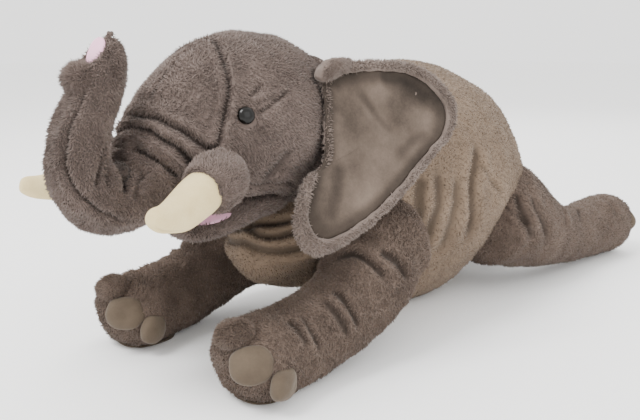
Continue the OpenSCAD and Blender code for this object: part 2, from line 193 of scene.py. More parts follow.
@dataclass
class Grid:
    """A closed skin in millimetres: rings of points, each end closed by a pole."""

    points: Array
    # how deep each point lies in a fold, 0 to 1: it thins the fur there and paints shade into the colour
    crease: Array = field(default_factory=lambda: np.zeros(0))

    def __post_init__(self) -> None:
        """Starts with no crease."""
        if self.crease.size == 0:
            self.crease = np.zeros(self.points.shape[:2])

    def normals(self) -> Array:
        """Outward directions: the step along the rings crossed with the step round them."""
        along = np.gradient(self.points, axis=0)
        around = np.roll(self.points, -1, 1) - np.roll(self.points, 1, 1)
        return unit(np.cross(along, around))

    def push(self, height: Array) -> "Grid":
        """Moves every point outwards by height."""
        self.points = self.points + self.normals() * np.asarray(height)[..., None]
        return self

    def emboss(self, folds: tuple[Fold, ...], inset: float = 0.0) -> "Grid":
        """Presses folds into the skin, draws it in to leave room for fur, and keeps each point's crease depth
        for painted shade.

        Args:
            folds: the seams and folds.
            inset: how far the whole skin moves in.

        Returns:
            The grid itself.
        """
        total = np.zeros(self.points.shape[:2])
        for fold in folds:
            height = replace(fold, path=self.snap(fold.path, fold.both)).relief(self.points)
            total += height
            # the crease depth later darkens the colour: painted shade in folds and seams
            self.crease = np.maximum(self.crease, np.clip(-height / CREASE_SHADE_DEPTH, 0, 1))
        return self.push(total - inset)

    def rest(self, floor: float) -> "Grid":
        """Flattens what is below the floor, easing over 3 mm: z becomes the soft maximum of z and floor."""
        z = self.points[..., 2]
        self.points[..., 2] = floor + 1.5 * np.logaddexp(0, (z - floor) / 1.5)
        return self

    def mirrored(self) -> "Grid":
        """The same skin on the other side, its rings turned round so that it still faces outwards."""
        return Grid((self.points * (-1, 1, 1))[:, ::-1], self.crease[:, ::-1])

    def rows(self, start: int, stop: int) -> "Grid":
        """The rings from start to stop."""
        return Grid(self.points[start:stop], self.crease[start:stop])

    def core(self, depth: float) -> "Grid":
        """A coarser grid inside this one: every third point, drawn to its ring's middle by at least depth."""
        outer = self.points[::3, ::3]
        middle = outer.mean(1, keepdims=True)
        reach = np.linalg.norm(outer - middle, axis=-1, keepdims=True)
        share = np.maximum(1 - CORE_MARGIN * depth / np.maximum(reach, 1e-6), CORE_LEAST)
        ring = np.arange(len(outer))
        ends = np.clip(np.minimum(ring, ring[::-1]) / CORE_RAMP, CORE_TIP, 1)[:, None, None]
        return Grid(middle + (outer - middle) * share * ends)

    def snap(self, path: tuple[Vec, ...], both: bool) -> tuple[Vec, ...]:
        """Moves the points of a path onto the nearest points of the skin."""
        flat = self.points.reshape(-1, 3)
        flat = flat[flat[:, 0] > -1] if both else flat
        return tuple(
            tuple(flat[np.argmin(((flat - q) ** 2).sum(-1))] * ((np.abs(q[0]) > 0.5), 1, 1))
            for q in np.array(path, float)
        )


def tube(stations: Array, count: int, around: int, square: float = 1.0, steps: int = 12) -> Grid:
    """Carries an oval along stations, rounding off both ends.

    A station is x, y, z, half-width, half-height and the narrowing of the lower half.

    A point is centre + u a cos|^q f + n b sin|^q, where u is X made square to the path, n = u x path
    and f = 1 + e times the drop of the point where it hangs below the centre.

    Args:
        stations: the rows, millimetres.
        count: rings.
        around: points on a ring.
        square: power q of sine and cosine.
        steps: fineness of the smoothing.

    Returns:
        The skin.
    """
    first, last = unit(stations[0, :3] - stations[1, :3]), unit(stations[-1, :3] - stations[-2, :3])
    front, end = stations[0].copy(), stations[-1].copy()
    front[:3] += first * END_STEP * front[3:5].min()
    end[:3] += last * END_STEP * end[3:5].min()
    front[3:5] *= END_SHARE
    end[3:5] *= END_SHARE
    rows = even_rows(smooth_rows(np.vstack([front, stations, end]), steps), count)
    c = rows[:, :3]
    t = unit(np.gradient(c, axis=0))
    u = unit(np.array([1.0, 0, 0]) - t * t[:, :1])
    n = np.cross(u, t)
    turn = np.linspace(0, 2 * math.pi, around, endpoint=False)
    cos, sin = signed_power(np.cos(turn), square), signed_power(np.sin(turn), square)
    drop = np.minimum(n[:, 2:3] * sin[None], 0)
    pull = rows[:, 5:6] if rows.shape[1] > 5 else 0.0
    wide = rows[:, 3:4] * cos[None] * (1 + pull * drop)
    return Grid(
        c[:, None] + u[:, None] * wide[..., None] + n[:, None] * (rows[:, 4:5] * sin[None])[..., None]
    )


def ball_rows(c: Array, r: float, d: Array, count: int = 6) -> Array:
    """Stations on a ball of radius r about c, from the pole behind it round to its widest ring."""
    p = np.radians(14 + np.arange(count) * 76 / count)[:, None]
    return np.hstack([c - d * r * np.cos(p), r * np.sin(p), r * np.sin(p), np.zeros((count, 1))])


def dome(
    centre: Array, axes: Array, radii: Vec, count: int = 40, around: int = 56, power: float = 1.0
) -> Grid:
    """A closed egg: centre + rx cos v cos u X + ry cos v sin u Y + rz sin v Z, its cosines raised to a power.

    Args:
        centre: middle, millimetres.
        axes: rows X, Y, Z, a right-handed set.
        radii: half sizes along them.
        count: rings.
        around: points on a ring.
        power: below 1 it is boxier.

    Returns:
        The skin.
    """
    v = np.linspace(-math.pi / 2, math.pi / 2, count + 2)[1:-1]
    u = -np.linspace(0, 2 * math.pi, around, endpoint=False)
    cv, sv = signed_power(np.cos(v), power)[:, None], signed_power(np.sin(v), power)[:, None]
    x, y = signed_power(np.cos(u), power)[None], signed_power(np.sin(u), power)[None]
    local = np.stack([radii[0] * cv * x, radii[1] * cv * y, radii[2] * sv + 0 * x], axis=-1)
    return Grid(centre + local @ axes)


def frame_of(out: Array, up: Array) -> Array:
    """Rows X, Y, Z of a right-handed set whose Z is out and whose Y leans to up."""
    z = unit(out)
    y = unit(up - z * (up @ z))
    return np.stack([np.cross(y, z), y, z])


# ---------- meshes ----------
def new_object(name: str, verts: Array, faces: Array, loops: int) -> bpy.types.Object:
    """Puts arrays into a mesh object at the origin.

    Args:
        name: piece name.
        verts: points in millimetres.
        faces: vertex numbers, flat.
        loops: corners a face.

    Returns:
        The object, smooth shaded.
    """
    mesh = bpy.data.meshes.new(name)
    mesh.vertices.add(len(verts))
    mesh.vertices.foreach_set("co", (verts * MM).astype(np.float32).ravel())
    mesh.loops.add(faces.size)
    mesh.loops.foreach_set("vertex_index", faces.astype(np.int32).ravel())
    mesh.polygons.add(faces.size // loops)
    mesh.polygons.foreach_set("loop_start", np.arange(0, faces.size, loops, dtype=np.int32))
    mesh.update(calc_edges=True)
    mesh.polygons.foreach_set("use_smooth", np.ones(faces.size // loops, bool))
    obj = bpy.data.objects.new(name, mesh)
    bpy.context.scene.collection.objects.link(obj)
    return obj


def note(obj: bpy.types.Object, name: str, values: Array) -> None:
    """Stores one number a point on the mesh."""
    layer = obj.data.attributes.new(name, "FLOAT", "POINT")
    layer.data.foreach_set("value", values.astype(np.float32).ravel())


def skin_object(name: str, grid: Grid) -> bpy.types.Object:
    """Makes the mesh of a grid: four-sided faces between rings and a fan to each pole.

    Args:
        name: piece name.
        grid: the skin.

    Returns:
        The object with its "crease", "tip" and "tint" numbers.
    """
    n, m = grid.points.shape[:2]
    poles = np.stack([grid.points[0].mean(0), grid.points[-1].mean(0)])
    verts = np.vstack([grid.points.reshape(-1, 3), poles])
    i, j = np.meshgrid(np.arange(n - 1), np.arange(m), indexing="ij")
    k = (j + 1) % m
    quads = np.stack([i * m + j, (i + 1) * m + j, (i + 1) * m + k, i * m + k], axis=-1).reshape(-1, 4)
    a, b = np.arange(m), (np.arange(m) + 1) % m
    start = np.stack([np.full(m, n * m), a, b], axis=-1)
    end = np.stack([np.full(m, n * m + 1), (n - 1) * m + b, (n - 1) * m + a], axis=-1)
    mesh = bpy.data.meshes.new(name)
    mesh.from_pydata((verts * MM).tolist(), [], quads.tolist() + start.tolist() + end.tolist())
    mesh.polygons.foreach_set("use_smooth", np.ones(len(mesh.polygons), bool))
    obj = bpy.data.objects.new(name, mesh)
    bpy.context.scene.collection.objects.link(obj)
    # crease paints shade into folds; tip 0.3 darkens the skin between the tufts as painted shade
    crease = np.concatenate([grid.crease.ravel(), [0, 0]])
    note(obj, "crease", crease)
    note(obj, "tip", np.full(len(crease), 0.3))
    note(obj, "tint", np.full(len(crease), 0.5))
    return obj


@dataclass(frozen=True)
class Pile:
    """Short fur: how many tufts, their length and half-thickness in millimetres, and their lean."""

    count: int
    length: float = 4.6
    thick: float = 1.0
    lean: float = 48.0
    ruffle: float = 0.55
    seed: int = 1

    def sow(
        self, name: str, grid: Grid, nap: Vec, keep: Callable[[Array], Array] | None = None,
        floor: float = 0.4
    ) -> bpy.types.Object:
        """Stands tufts on a skin, each a three-sided spike whose point lies over along the nap.

        A tuft's point is root + length (normal cos lean + nap sin lean), ruffled. Its foot is a
        triangle of half-thickness round the root.

        Args:
            name: piece name.
            grid: the skin they stand on.
            nap: the way the fur lies.
            keep: share of tufts kept at given points.
            floor: height below which nothing hangs, millimetres.

        Returns:
            The object with its "crease", "tip" and "tint" numbers and its own map.
        """
        rng = np.random.default_rng(self.seed)
        p, nrm = grid.points, grid.normals()
        edge_a, edge_b = p[1:] - p[:-1], (np.roll(p, -1, 1) - p)[:-1]
        area = np.linalg.norm(np.cross(edge_a, edge_b), axis=-1)
        area = area * (1 - 0.75 * grid.crease[:-1])
        if keep is not None:
            area = area * keep(p[:-1])
        total = np.cumsum(area.ravel())
        n = self.count
        pick = np.searchsorted(total, (np.arange(n) + rng.random(n)) / n * total[-1])
        pick = np.minimum(pick, total.size - 1)
        m = p.shape[1]
        i, j = np.divmod(pick, m)
        u, v = rng.random((2, n, 1))
        k = (j + 1) % m
        root = (p[i, j] * (1 - u) + p[i + 1, j] * u) * (1 - v) + (p[i, k] * (1 - u) + p[i + 1, k] * u) * v
        normal = unit(
            (nrm[i, j] * (1 - u) + nrm[i + 1, j] * u) * (1 - v)
            + (nrm[i, k] * (1 - u) + nrm[i + 1, k] * u) * v
        )
        wave = np.stack([lumps(root, 19, self.seed + s) for s in (5, 6, 7)], axis=-1)
        lay = np.array(nap, float) + self.ruffle * (0.8 * wave + 0.5 * rng.normal(size=(n, 3)))
        lay = unit(lay - normal * (lay * normal).sum(-1, keepdims=True))
        lean = np.radians(self.lean + 9 * rng.normal(size=(n, 1)))
        aim = unit(normal * np.cos(lean) + lay * np.sin(lean))
        long = self.length * rng.uniform(0.65, 1.3, (n, 1)) * (1 - 0.5 * grid.crease[i, j][:, None])
        side = unit(np.cross(aim, rng.normal(size=(n, 3))))
        other = np.cross(aim, side)
        thick = self.thick * rng.uniform(0.75, 1.3, (n, 1))
        ring = [
            root - 0.7 * normal
            + thick * (math.cos(a) * side + math.sin(a) * other)
            for a in THIRDS
        ]
        verts = np.stack([*ring, root + aim * long], axis=1).reshape(-1, 3)
        verts[:, 2] = np.maximum(verts[:, 2], floor)
        base = np.arange(n)[:, None, None] * 4
        tris = (base + np.array([[0, 2, 1], [0, 1, 3], [1, 2, 3], [2, 0, 3]])).reshape(-1)
        obj = new_object(name, verts, tris, 3)
        # crease and tip paint shade: tufts in folds are darker, and each tuft is darker at its root than at
        # its point
        note(obj, "crease", np.repeat(grid.crease[i, j], 4))
        note(obj, "tip", np.tile([0.0, 0.0, 0.0, 1.0], n))
        note(obj, "tint", np.repeat(rng.random(n), 4))
        cells = math.ceil(math.sqrt(n))
        corner = np.array([[0.1, 0.1], [0.9, 0.1], [0.5, 0.9], [0.5, 0.4]])
        place = np.stack([np.arange(n) % cells, np.arange(n) // cells], axis=-1)[:, None] + corner[None]
        flat = (place / cells).reshape(-1, 2)[tris]
        obj.data.uv_layers.new(name="OFBake").data.foreach_set("uv", flat.astype(np.float32).ravel())
        return obj


# ---------- finishes ----------
class Nodes:
    """A shader tree and the few moves used to fill it."""

    def __init__(self, tree: bpy.types.NodeTree) -> None:
        """Keeps the tree."""
        self.tree = tree

    def add(self, kind: str, **values: object) -> bpy.types.Node:
        """Adds a node of a kind; each value sets a property, or the input of that name with _ for a space."""
        node = self.tree.nodes.new(kind)
        for key, value in values.items():
            if key.startswith("in_"):
                node.inputs[key[3:].replace("_", " ")].default_value = value
            else:
                setattr(node, key, value)
        return node

    def link(self, source: bpy.types.NodeSocket, target: bpy.types.NodeSocket) -> None:
        """Joins two sockets."""
        self.tree.links.new(source, target)

    def math(self, operation: str, a: object, b: object = 0.0, clamp: bool = False) -> bpy.types.NodeSocket:
        """A Math node on sockets or numbers, and its result."""
        node = self.add("ShaderNodeMath", operation=operation, use_clamp=clamp)
        for socket, value in zip(node.inputs, (a, b)):
            if isinstance(value, bpy.types.NodeSocket):
                self.link(value, socket)
            else:
                socket.default_value = float(value)
        return node.outputs[0]

    def mix(self, share: object, a: object, b: object, blend: str = "MIX") -> bpy.types.NodeSocket:
        """A colour mix of a and b by share, and its result."""
        node = self.add("ShaderNodeMix", data_type="RGBA", blend_type=blend, clamp_factor=True)
        for socket, value in zip((node.inputs[0], node.inputs[6], node.inputs[7]), (share, a, b)):
            if isinstance(value, bpy.types.NodeSocket):
                self.link(value, socket)
            else:
                socket.default_value = value if isinstance(value, float) else (*value, 1.0)
        return node.outputs[2]


class Effect(Enum):
    """Shared effects, each built once as a node group."""

    MOTTLE = "fabric_mottle"
    GRAIN = "fibre_grain"
    WOVEN = "knit_backing"


def effect_group(effect: Effect) -> bpy.types.NodeTree:
    """Finds or builds a shared group.

    MOTTLE gives the patchy nap of brushed fabric, GRAIN the fine specks between fibres,
    WOVEN the close ribs of a knit.

    Args:
        effect: which one.

    Returns:
        The group with Scale, Contrast in and Mask out.
    """
    if effect.value in bpy.data.node_groups:
        return bpy.data.node_groups[effect.value]
    group = bpy.data.node_groups.new(effect.value, "ShaderNodeTree")
    group.interface.new_socket(name="Vector", in_out="INPUT", socket_type="NodeSocketVector")
    scale = group.interface.new_socket(name="Scale", in_out="INPUT", socket_type="NodeSocketFloat")
    contrast = group.interface.new_socket(name="Contrast", in_out="INPUT", socket_type="NodeSocketFloat")
    scale.default_value, contrast.default_value = 100.0, 1.0
    group.interface.new_socket(name="Mask", in_out="OUTPUT", socket_type="NodeSocketFloat")
    n = Nodes(group)
    enter, leave = n.add("NodeGroupInput"), n.add("NodeGroupOutput")
    if effect is Effect.WOVEN:
        wave = n.add("ShaderNodeTexWave", bands_direction="DIAGONAL", in_Distortion=1.5, in_Detail=1.0)
        n.link(enter.outputs["Vector"], wave.inputs["Vector"])
        n.link(enter.outputs["Scale"], wave.inputs["Scale"])
        raw = wave.outputs["Fac"]
    else:
        rough = 0.75 if effect is Effect.GRAIN else 0.55
        noise = n.add("ShaderNodeTexNoise", in_Detail=4.0, in_Roughness=rough)
        n.link(enter.outputs["Vector"], noise.inputs["Vector"])
        n.link(enter.outputs["Scale"], noise.inputs["Scale"])
        raw = noise.outputs["Fac"]
    swing = n.math("MULTIPLY", n.math("SUBTRACT", raw, 0.5), enter.outputs["Contrast"])
    n.link(n.math("ADD", swing, 0.5, clamp=True), leave.inputs["Mask"])
    return group


def place(
    n: Nodes, effect: Effect, where: bpy.types.NodeSocket, scale: float, contrast: float
) -> bpy.types.NodeSocket:
    """Puts a shared effect in a material and gives its mask."""
    node = n.add("ShaderNodeGroup", node_tree=effect_group(effect))
    node.inputs["Scale"].default_value = scale
    node.inputs["Contrast"].default_value = contrast
    n.link(where, node.inputs["Vector"])
    return node.outputs["Mask"]


@dataclass(frozen=True)
class Finish:
    """A cloth or plastic and how it takes light."""

    name: str
    dark: Colour
    light: Colour
    patch: float = 30.0
    speck: float = 420.0
    # strength of the painted shade in creases
    depth: float = 0.35
    roughness: float = 0.92
    sheen: float = 0.35
    sheen_tint: Colour = (0.9, 0.85, 0.8)
    bump: float = 0.45
    relief_mm: float = 0.8
    # strength of the painted shade at the fibre roots and on the skin between tufts
    root: float = 0.5
    coat: float = 0.0
    weave: Effect = Effect.GRAIN
    contrast: float = 1.7

    def material(self) -> bpy.types.Material:
        """Finds or builds the material.

        Colour runs from dark to light by patches and specks, with painted shade at the fibre roots, on the
        skin between the tufts and in creases. Specks lift the surface.

        Returns:
            The material.
        """
        if self.name in bpy.data.materials:
            return bpy.data.materials[self.name]
        mat = bpy.data.materials.new(self.name)
        mat.use_nodes = True
        mat.node_tree.nodes.clear()
        n = Nodes(mat.node_tree)
        out = n.add("ShaderNodeOutputMaterial")
        shader = n.add("ShaderNodeBsdfPrincipled", in_Sheen_Weight=self.sheen, in_Sheen_Roughness=0.45)
        shader.inputs["Sheen Tint"].default_value = (*self.sheen_tint, 1)
        shader.inputs["Coat Weight"].default_value = self.coat
        shader.inputs["Coat Roughness"].default_value = 0.06
        shader.inputs["Specular IOR Level"].default_value = 0.1 if self.coat else 0.2
        n.link(shader.outputs[0], out.inputs["Surface"])
        here = n.add("ShaderNodeTexCoord").outputs["Object"]
        patches = place(n, Effect.MOTTLE, here, self.patch, self.contrast)
        specks = place(n, self.weave, here, self.speck, 1.5)
        tint = n.add("ShaderNodeAttribute", attribute_name="tint").outputs["Fac"]
        tip = n.add("ShaderNodeAttribute", attribute_name="tip").outputs["Fac"]
        crease = n.add("ShaderNodeAttribute", attribute_name="crease").outputs["Fac"]
        share = n.math("ADD", n.math("MULTIPLY", patches, 0.55), n.math("MULTIPLY", specks, 0.25))
        share = n.math("ADD", share, n.math("MULTIPLY", n.math("SUBTRACT", tint, 0.3), 0.45), clamp=True)
        colour = n.mix(share, self.dark, self.light)
        # painted shade: darker at the fibre roots and on the skin between tufts, and in creases by their
        # depth
        root_shade = n.math("SUBTRACT", 1.0, n.math("MULTIPLY", n.math("SUBTRACT", 1.0, tip), self.root))
        shade = n.math("MULTIPLY", root_shade, n.math("SUBTRACT", 1.0, n.math("MULTIPLY", crease, self.depth)))
        shade_colour = n.add("ShaderNodeCombineColor")
        for socket in shade_colour.inputs[:3]:
            n.link(shade, socket)
        n.link(n.mix(1.0, colour, shade_colour.outputs[0], "MULTIPLY"), shader.inputs["Base Color"])
        rough = n.math("ADD", n.math("MULTIPLY", specks, 0.08), self.roughness - 0.04, clamp=True)
        n.link(rough, shader.inputs["Roughness"])
        lift = n.add("ShaderNodeBump", in_Strength=self.bump, in_Distance=self.relief_mm * MM)
        n.link(n.math("ADD", specks, n.math("MULTIPLY", patches, 0.5)), lift.inputs["Height"])
        n.link(lift.outputs[0], shader.inputs["Normal"])
        return mat

    def dress(self, *objs: bpy.types.Object) -> None:
        """Gives the material to objects, in every slot they have."""
        for obj in objs:
            if not obj.material_slots:
                obj.data.materials.append(self.material())
            for slot in obj.material_slots:
                slot.material = self.material()


FACE_PLUSH = Finish(
    "face_plush", (0.062, 0.044, 0.037), (0.27, 0.205, 0.178), depth=0.6, root=0.42, sheen=0.14
)
TORSO_PLUSH = Finish(
    "torso_plush", (0.095, 0.064, 0.044), (0.325, 0.235, 0.165), patch=17.0, root=0.3, depth=0.6,
    sheen=0.14
)
LEG_PLUSH = Finish(
    "leg_plush", (0.056, 0.038, 0.03), (0.24, 0.175, 0.138), patch=26.0, depth=0.65, root=0.42, sheen=0.12
)
RIM_PLUSH = Finish("ear_rim_plush", (0.082, 0.06, 0.05), (0.34, 0.265, 0.227), patch=40.0, sheen=0.16)
TUFT_PLUSH = Finish("tail_tuft_plush", (0.035, 0.028, 0.025), (0.12, 0.095, 0.085))
EAR_VELVET = Finish(
    "brushed_ear_velvet", (0.022, 0.016, 0.012), (0.195, 0.148, 0.117), patch=17.0, speck=520.0,
    sheen=0.03, depth=0.75, bump=0.35, relief_mm=0.5, root=0.1, contrast=3.4
)
NAIL_VELVET = Finish(
    "nail_velvet", (0.05, 0.036, 0.025), (0.145, 0.11, 0.078), patch=45.0, speck=600.0, sheen=0.15,
    bump=0.35, relief_mm=0.5, root=0.15, depth=0.6
)
TUSK_FELT = Finish(
    "tusk_felt", (0.5, 0.37, 0.16), (0.8, 0.68, 0.4), patch=38.0, speck=700.0, bump=0.3, relief_mm=0.4,
    root=0.0, sheen=0.1, sheen_tint=(1, 0.97, 0.9), depth=0.45
)
PINK_FELT = Finish(
    "pink_felt", (0.7, 0.34, 0.47), (0.9, 0.56, 0.7), patch=50.0, speck=700.0, bump=0.3, relief_mm=0.4,
    root=0.0, sheen=0.1, sheen_tint=(1, 0.9, 0.95)
)
FIBRE = Finish(
    "fibre_fill", (0.75, 0.75, 0.73), (0.92, 0.92, 0.9), patch=60.0, speck=260.0, root=0.0,
    weave=Effect.WOVEN
)
EYE_GLOSS = Finish(
    "glossy_eye", (0.001, 0.001, 0.0008), (0.004, 0.003, 0.0022), patch=90.0, speck=900.0, roughness=0.3,
    sheen=0.0, bump=0.02, relief_mm=0.05, root=0.0, coat=0.3
)
WASHER = Finish(
    "eye_washer", (0.6, 0.6, 0.58), (0.75, 0.75, 0.72), roughness=0.5, sheen=0.0, bump=0.1, relief_mm=0.1,
    root=0.0
)


def fill_piece(name: str, grid: Grid, body: str, node: str, depth: float = 6.5) -> None:
    """Makes the fibre filling that lies depth inside a skin."""
    obj = place_piece(skin_object(name, grid.core(depth)), body, FIBRE, "fibre_stuffing", node)


def place_piece(obj: bpy.types.Object, body: str, finish: Finish, slot: str, *nodes: str) -> bpy.types.Object:
    """Dresses a piece, rides it on its body, hides the parts it stands for, and reports it."""
    finish.dress(obj)
    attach(obj, body)
    if nodes:
        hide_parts(*nodes)
    LOG.info("%s on %s, %d faces", obj.name, body, len(obj.data.polygons))
    return obj


# ---------- sub-assemblies ----------
@dataclass
class Torso:
    """The long stuffed body that lies on its belly, with a full chest under the jaw."""

    length: float = 362.0
    half: float = 108.0
    high: float = 126.0
    pile: Pile = Pile(44000, seed=11, length=2.7, thick=0.9, lean=56)
    folds: tuple[Fold, ...] = (
        Fold(
            ((101, 2, 176), (104, -2, 157), (107, -11, 140), (108, -13, 121), (104, -5, 99), (92, 6, 66)),
            5.0, 6.5, 0.5
        ),
        Fold(((104, -2, 157), (107, 14, 143), (108, 30, 128), (106, 48, 112)), 2.6, 2.6, 0.4),
        Fold(((99, -80, 150), (97, -85, 139), (96, -84, 118), (90, -74, 84)), 3.6, 8.0, 0.5),
        Fold(((100, -62, 160), (101, -63, 130), (95, -60, 105), (82, -56, 66)), 3.2, 7.0, 0.5),
        Fold(((103, -36, 150), (103, -38, 126), (97, -36, 100), (84, -34, 60)), 2.4, 7.0, 0.5),
        Fold(((0, -212, 112), (22, -208, 110), (42, -190, 112), (56, -168, 124)), 3.4, 4.0, 0.5, fades=False),
        Fold(((0, -218, 100), (26, -208, 94), (46, -188, 96), (60, -164, 106)), 3.0, 4.5, 0.5, fades=False),
        Fold(((0, -208, 122), (22, -200, 122), (42, -184, 126)), 3.0, 4.0, 0.5, fades=False),
        Fold(((0, -60, 252), (0, 0, 255), (0, 60, 240), (0, 120, 200), (0, 165, 150)), 2.0, 2.2, 0.4),
    )

    def grid(self) -> Grid:
        """The skin from chest to rump."""
        l, w, h = self.length, self.half, self.high
        rows = np.array([
            (0, -0.594 * l, 86, 14, 11, 0.2),
            (0, -0.572 * l, 86, 33, 24, 0.2),
            (0, -0.512 * l, 87, 53, 37, 0.3),
            (0, -0.425 * l, 94, 66, 56, 0.4),
            (0, -0.345 * l, 0.86 * h, 0.74 * w, 0.71 * h, 0.45),
            (0, -0.193 * l, 0.975 * h, 0.93 * w, 0.94 * h, 0.35),
            (0, 0, 0.975 * h, w, 1.03 * h, 0.12),
            (0, 0.166 * l, 0.95 * h, 0.98 * w, 0.955 * h, 0.15),
            (0, 0.318 * l, 0.84 * h, 0.83 * w, 0.74 * h, 0.4),
            (0, 0.442 * l, 0.74 * h, 0.53 * w, 0.48 * h, 0.3),
            (0, 0.503 * l, 0.69 * h, 0.19 * w, 0.18 * h, 0.1),
        ])
        grid = tube(rows, 220, 250)
        grid.push(1.2 * lumps(grid.points, 62, 3) + 0.6 * lumps(grid.points, 24, 4))
        return grid.emboss(self.folds, inset=1.5).rest(0.6)

    def build(self) -> None:
        """Makes the skin, its fur and its filling."""
        grid = self.grid()
        skin = place_piece(skin_object("torso_skin", grid), "torso", TORSO_PLUSH, "plush", "torso_cover")
        place_piece(self.pile.sow("torso_pile", grid, (0, 1, -0.35)), "torso", TORSO_PLUSH, "plush")
        fill_piece("torso_fill", grid, "torso", "torso_stuffing")


@dataclass
class Tail:
    """A short sewn tail with a fringed end."""

    root: Vec = (0, 169.4, 137.1)
    pile: Pile = Pile(4000, seed=12, length=4.5)
    fringe: Pile = Pile(3000, seed=13, length=17, thick=1.1, lean=60, ruffle=0.4)

    def build(self) -> None:
        """Makes the tail, its fur and its tuft."""
        root = np.array(self.root)
        steps = [
            (0, 0, 0, 9), (0, 14, 1, 8), (0, 27, -10, 7.5), (0, 33, -34, 7), (0, 35, -62, 6.5),
            (0, 35, -80, 6)
        ]
        rows = np.array([(*(root + s[:3]), s[3], s[3], 0) for s in steps])
        grid = tube(rows, 70, 40)
        place_piece(skin_object("tail_skin", grid), "tail", TORSO_PLUSH, "plush", "tail")
        place_piece(self.pile.sow("tail_pile", grid, (0, 0.2, -1)), "tail", TORSO_PLUSH, "plush")
        steps = [(0, 35, -80, 5), (0, 36, -88, 9), (0, 36, -102, 8), (0, 35, -112, 3)]
        grid = tube(np.array([(*(root + s[:3]), s[3], s[3], 0) for s in steps]), 40, 40)
        place_piece(skin_object("tail_tuft_core", grid), "tail", TUFT_PLUSH, "tuft_plush", "tail_tuft")
        place_piece(
            self.fringe.sow("tail_fringe", grid.rows(0, 32), (0, 0.1, -1)),
            "tail", TUFT_PLUSH, "tuft_plush"
        )


@dataclass
class Face:
    """Head and trunk in one skin, with cheeks, forehead, wrinkled bridge and raised trunk."""

    half: float = 77.0
    trunk: float = 33.0
    mouth_x: float = 60.0
    eye: Vec = (61.4, -262, 216)
    eye_out: Vec = (0.86, -0.39, 0.32)
    head_pile: Pile = Pile(45000, seed=21, length=3.4, thick=0.75)
    trunk_pile: Pile = Pile(33000, seed=22, length=3.7, thick=0.78, ruffle=0.85)
    folds: tuple[Fold, ...] = (
        Fold(
            ((0, -246, 274), (0, -264, 265), (0, -282, 255), (0, -300, 240), (0, -312, 228)),
            2.6, 2.4, 0.45
        ),
        Fold(
            (
                (0, -246, 274), (14, -250, 271), (35, -261, 257), (48, -267, 241), (53, -271, 232),
                (55, -277, 221), (57, -281, 210), (56, -284, 199), (54, -288, 188)
            ),
            3.2, 2.5, 0.5, fades=False
        ),
        Fold(
            (
                (0, -322, 219), (8, -321, 218), (20, -319, 218), (31, -314, 215), (40, -307, 208),
                (48, -298, 199), (54, -288, 189)
            ),
            4.4, 2.9, 0.6, fades=False
        ),
        Fold(
            (
                (0, -329, 210), (8, -328, 209), (20, -325, 207), (32, -319, 201), (40, -312, 195),
                (45, -302, 184)
            ),
            4.4, 2.9, 0.6, fades=False
        ),
        Fold(
            ((0, -335, 200), (11, -332, 198), (25, -328, 193), (35, -322, 185), (41, -312, 174)),
            4.4, 2.9, 0.6, fades=False
        ),
        Fold(((66, -256, 219), (67, -247, 222), (69, -235, 228), (69, -221, 236)), 2.8, 2.0, 0.5),
        Fold(((65, -256, 224), (66, -245, 228), (68, -234, 233)), 2.2, 1.8, 0.5),
        Fold(((61, -258, 230), (61, -251, 234), (60, -244, 240)), 1.8, 2.4, 0.5),
        Fold(((73, -226, 190), (72, -231, 181), (67, -236, 171), (60, -244, 160)), 2.2, 5.0, 0.6),
        Fold(
            (
                (11, -365, 255), (16, -372, 238), (18, -380, 225), (17, -388, 212), (17, -390, 199),
                (18, -391, 185), (22, -384, 168), (26, -372, 156), (28, -354, 146), (28, -333, 142)
            ),
            2.8, 2.3, 0.5
        ),
        Fold(
            ((0, -339, 186), (8, -341, 184), (18, -344, 178), (24, -345, 172), (29, -347, 163)),
            4.6, 3.4, 0.7
        ),
        Fold(
            ((18, -352, 203), (23, -358, 196), (26, -363, 187), (29, -368, 176), (30, -371, 168)),
            3.4, 3.2, 0.6
        ),
        Fold(((22, -350, 190), (28, -357, 180), (31, -360, 170)), 3.0, 3.0, 0.6),
        Fold(((27, -337, 183), (31, -338, 172), (32, -341, 160)), 2.4, 3.0, 0.5),
        Fold(((60, -268, 152), (70, -246, 152), (69, -222, 154), (58, -200, 150)), 3.0, 2.4, 0.4),
    )

    def grid(self) -> Grid:
        """The skin from the neck ball to the tip of the trunk."""
        w, t = self.half, self.trunk
        neck = np.array([0.0, -155, 190])
        rows = np.vstack([ball_rows(neck, 68, unit(np.array([0, -1, 0.1]))), np.array([
            (0, -155, 190, 68, 68, 0),
            (0, -168, 194, 67, 66.5, 0),
            (0, -190, 200, 0.985 * w, 75, 0),
            (0, -222, 202, w, 77, 0),
            (0, -258, 195, 0.87 * w, 66, 0),
            (0, -284, 184, 0.71 * w, 50, 0),
            (0, -302, 172, 43, 34, 0),
            (0, -325, 158, 1.02 * t, 0.78 * t, 0),
            (0, -349, 155, 0.92 * t, 0.76 * t, 0),
            (0, -366, 171, 0.82 * t, 0.7 * t, 0),
            (0, -367, 201, 0.72 * t, 0.62 * t, 0),
            (0, -352, 232, 0.64 * t, 0.56 * t, 0),
            (0, -342, 254, 0.56 * t, 0.48 * t, 0),
            (0, -337, 268, 0.36 * t, 0.3 * t, 0),
            (0, -336, 275, 0.12 * t, 0.1 * t, 0),
        ])])
        grid = tube(rows, 300, 230)
        p = grid.points
        roof = 150.4 + 0.1086 * (p[..., 1] + 222)
        inside = ease(-p[..., 1], 212, 222) * ease(-np.abs(p[..., 0]), -self.mouth_x - 4, -self.mouth_x + 2)
        inside = inside * ease(p[..., 1], -318, -306)
        p[..., 2] = np.where(p[..., 2] < roof, p[..., 2] + inside * (roof - p[..., 2]), p[..., 2])
        grid.push(0.9 * lumps(p, 48, 8) + 0.5 * lumps(p, 20, 9))
        share = np.linalg.norm((grid.points - (0, -352, 262.5)) / (9.5, 9.0, 12.5), axis=-1)
        grid.push(-3.0 * (1 - ease(share, 0.55, 1.0)) + 1.6 * np.exp(-(((share - 1.22) / 0.2) ** 2)))
        return grid.emboss(self.folds, inset=2.3)

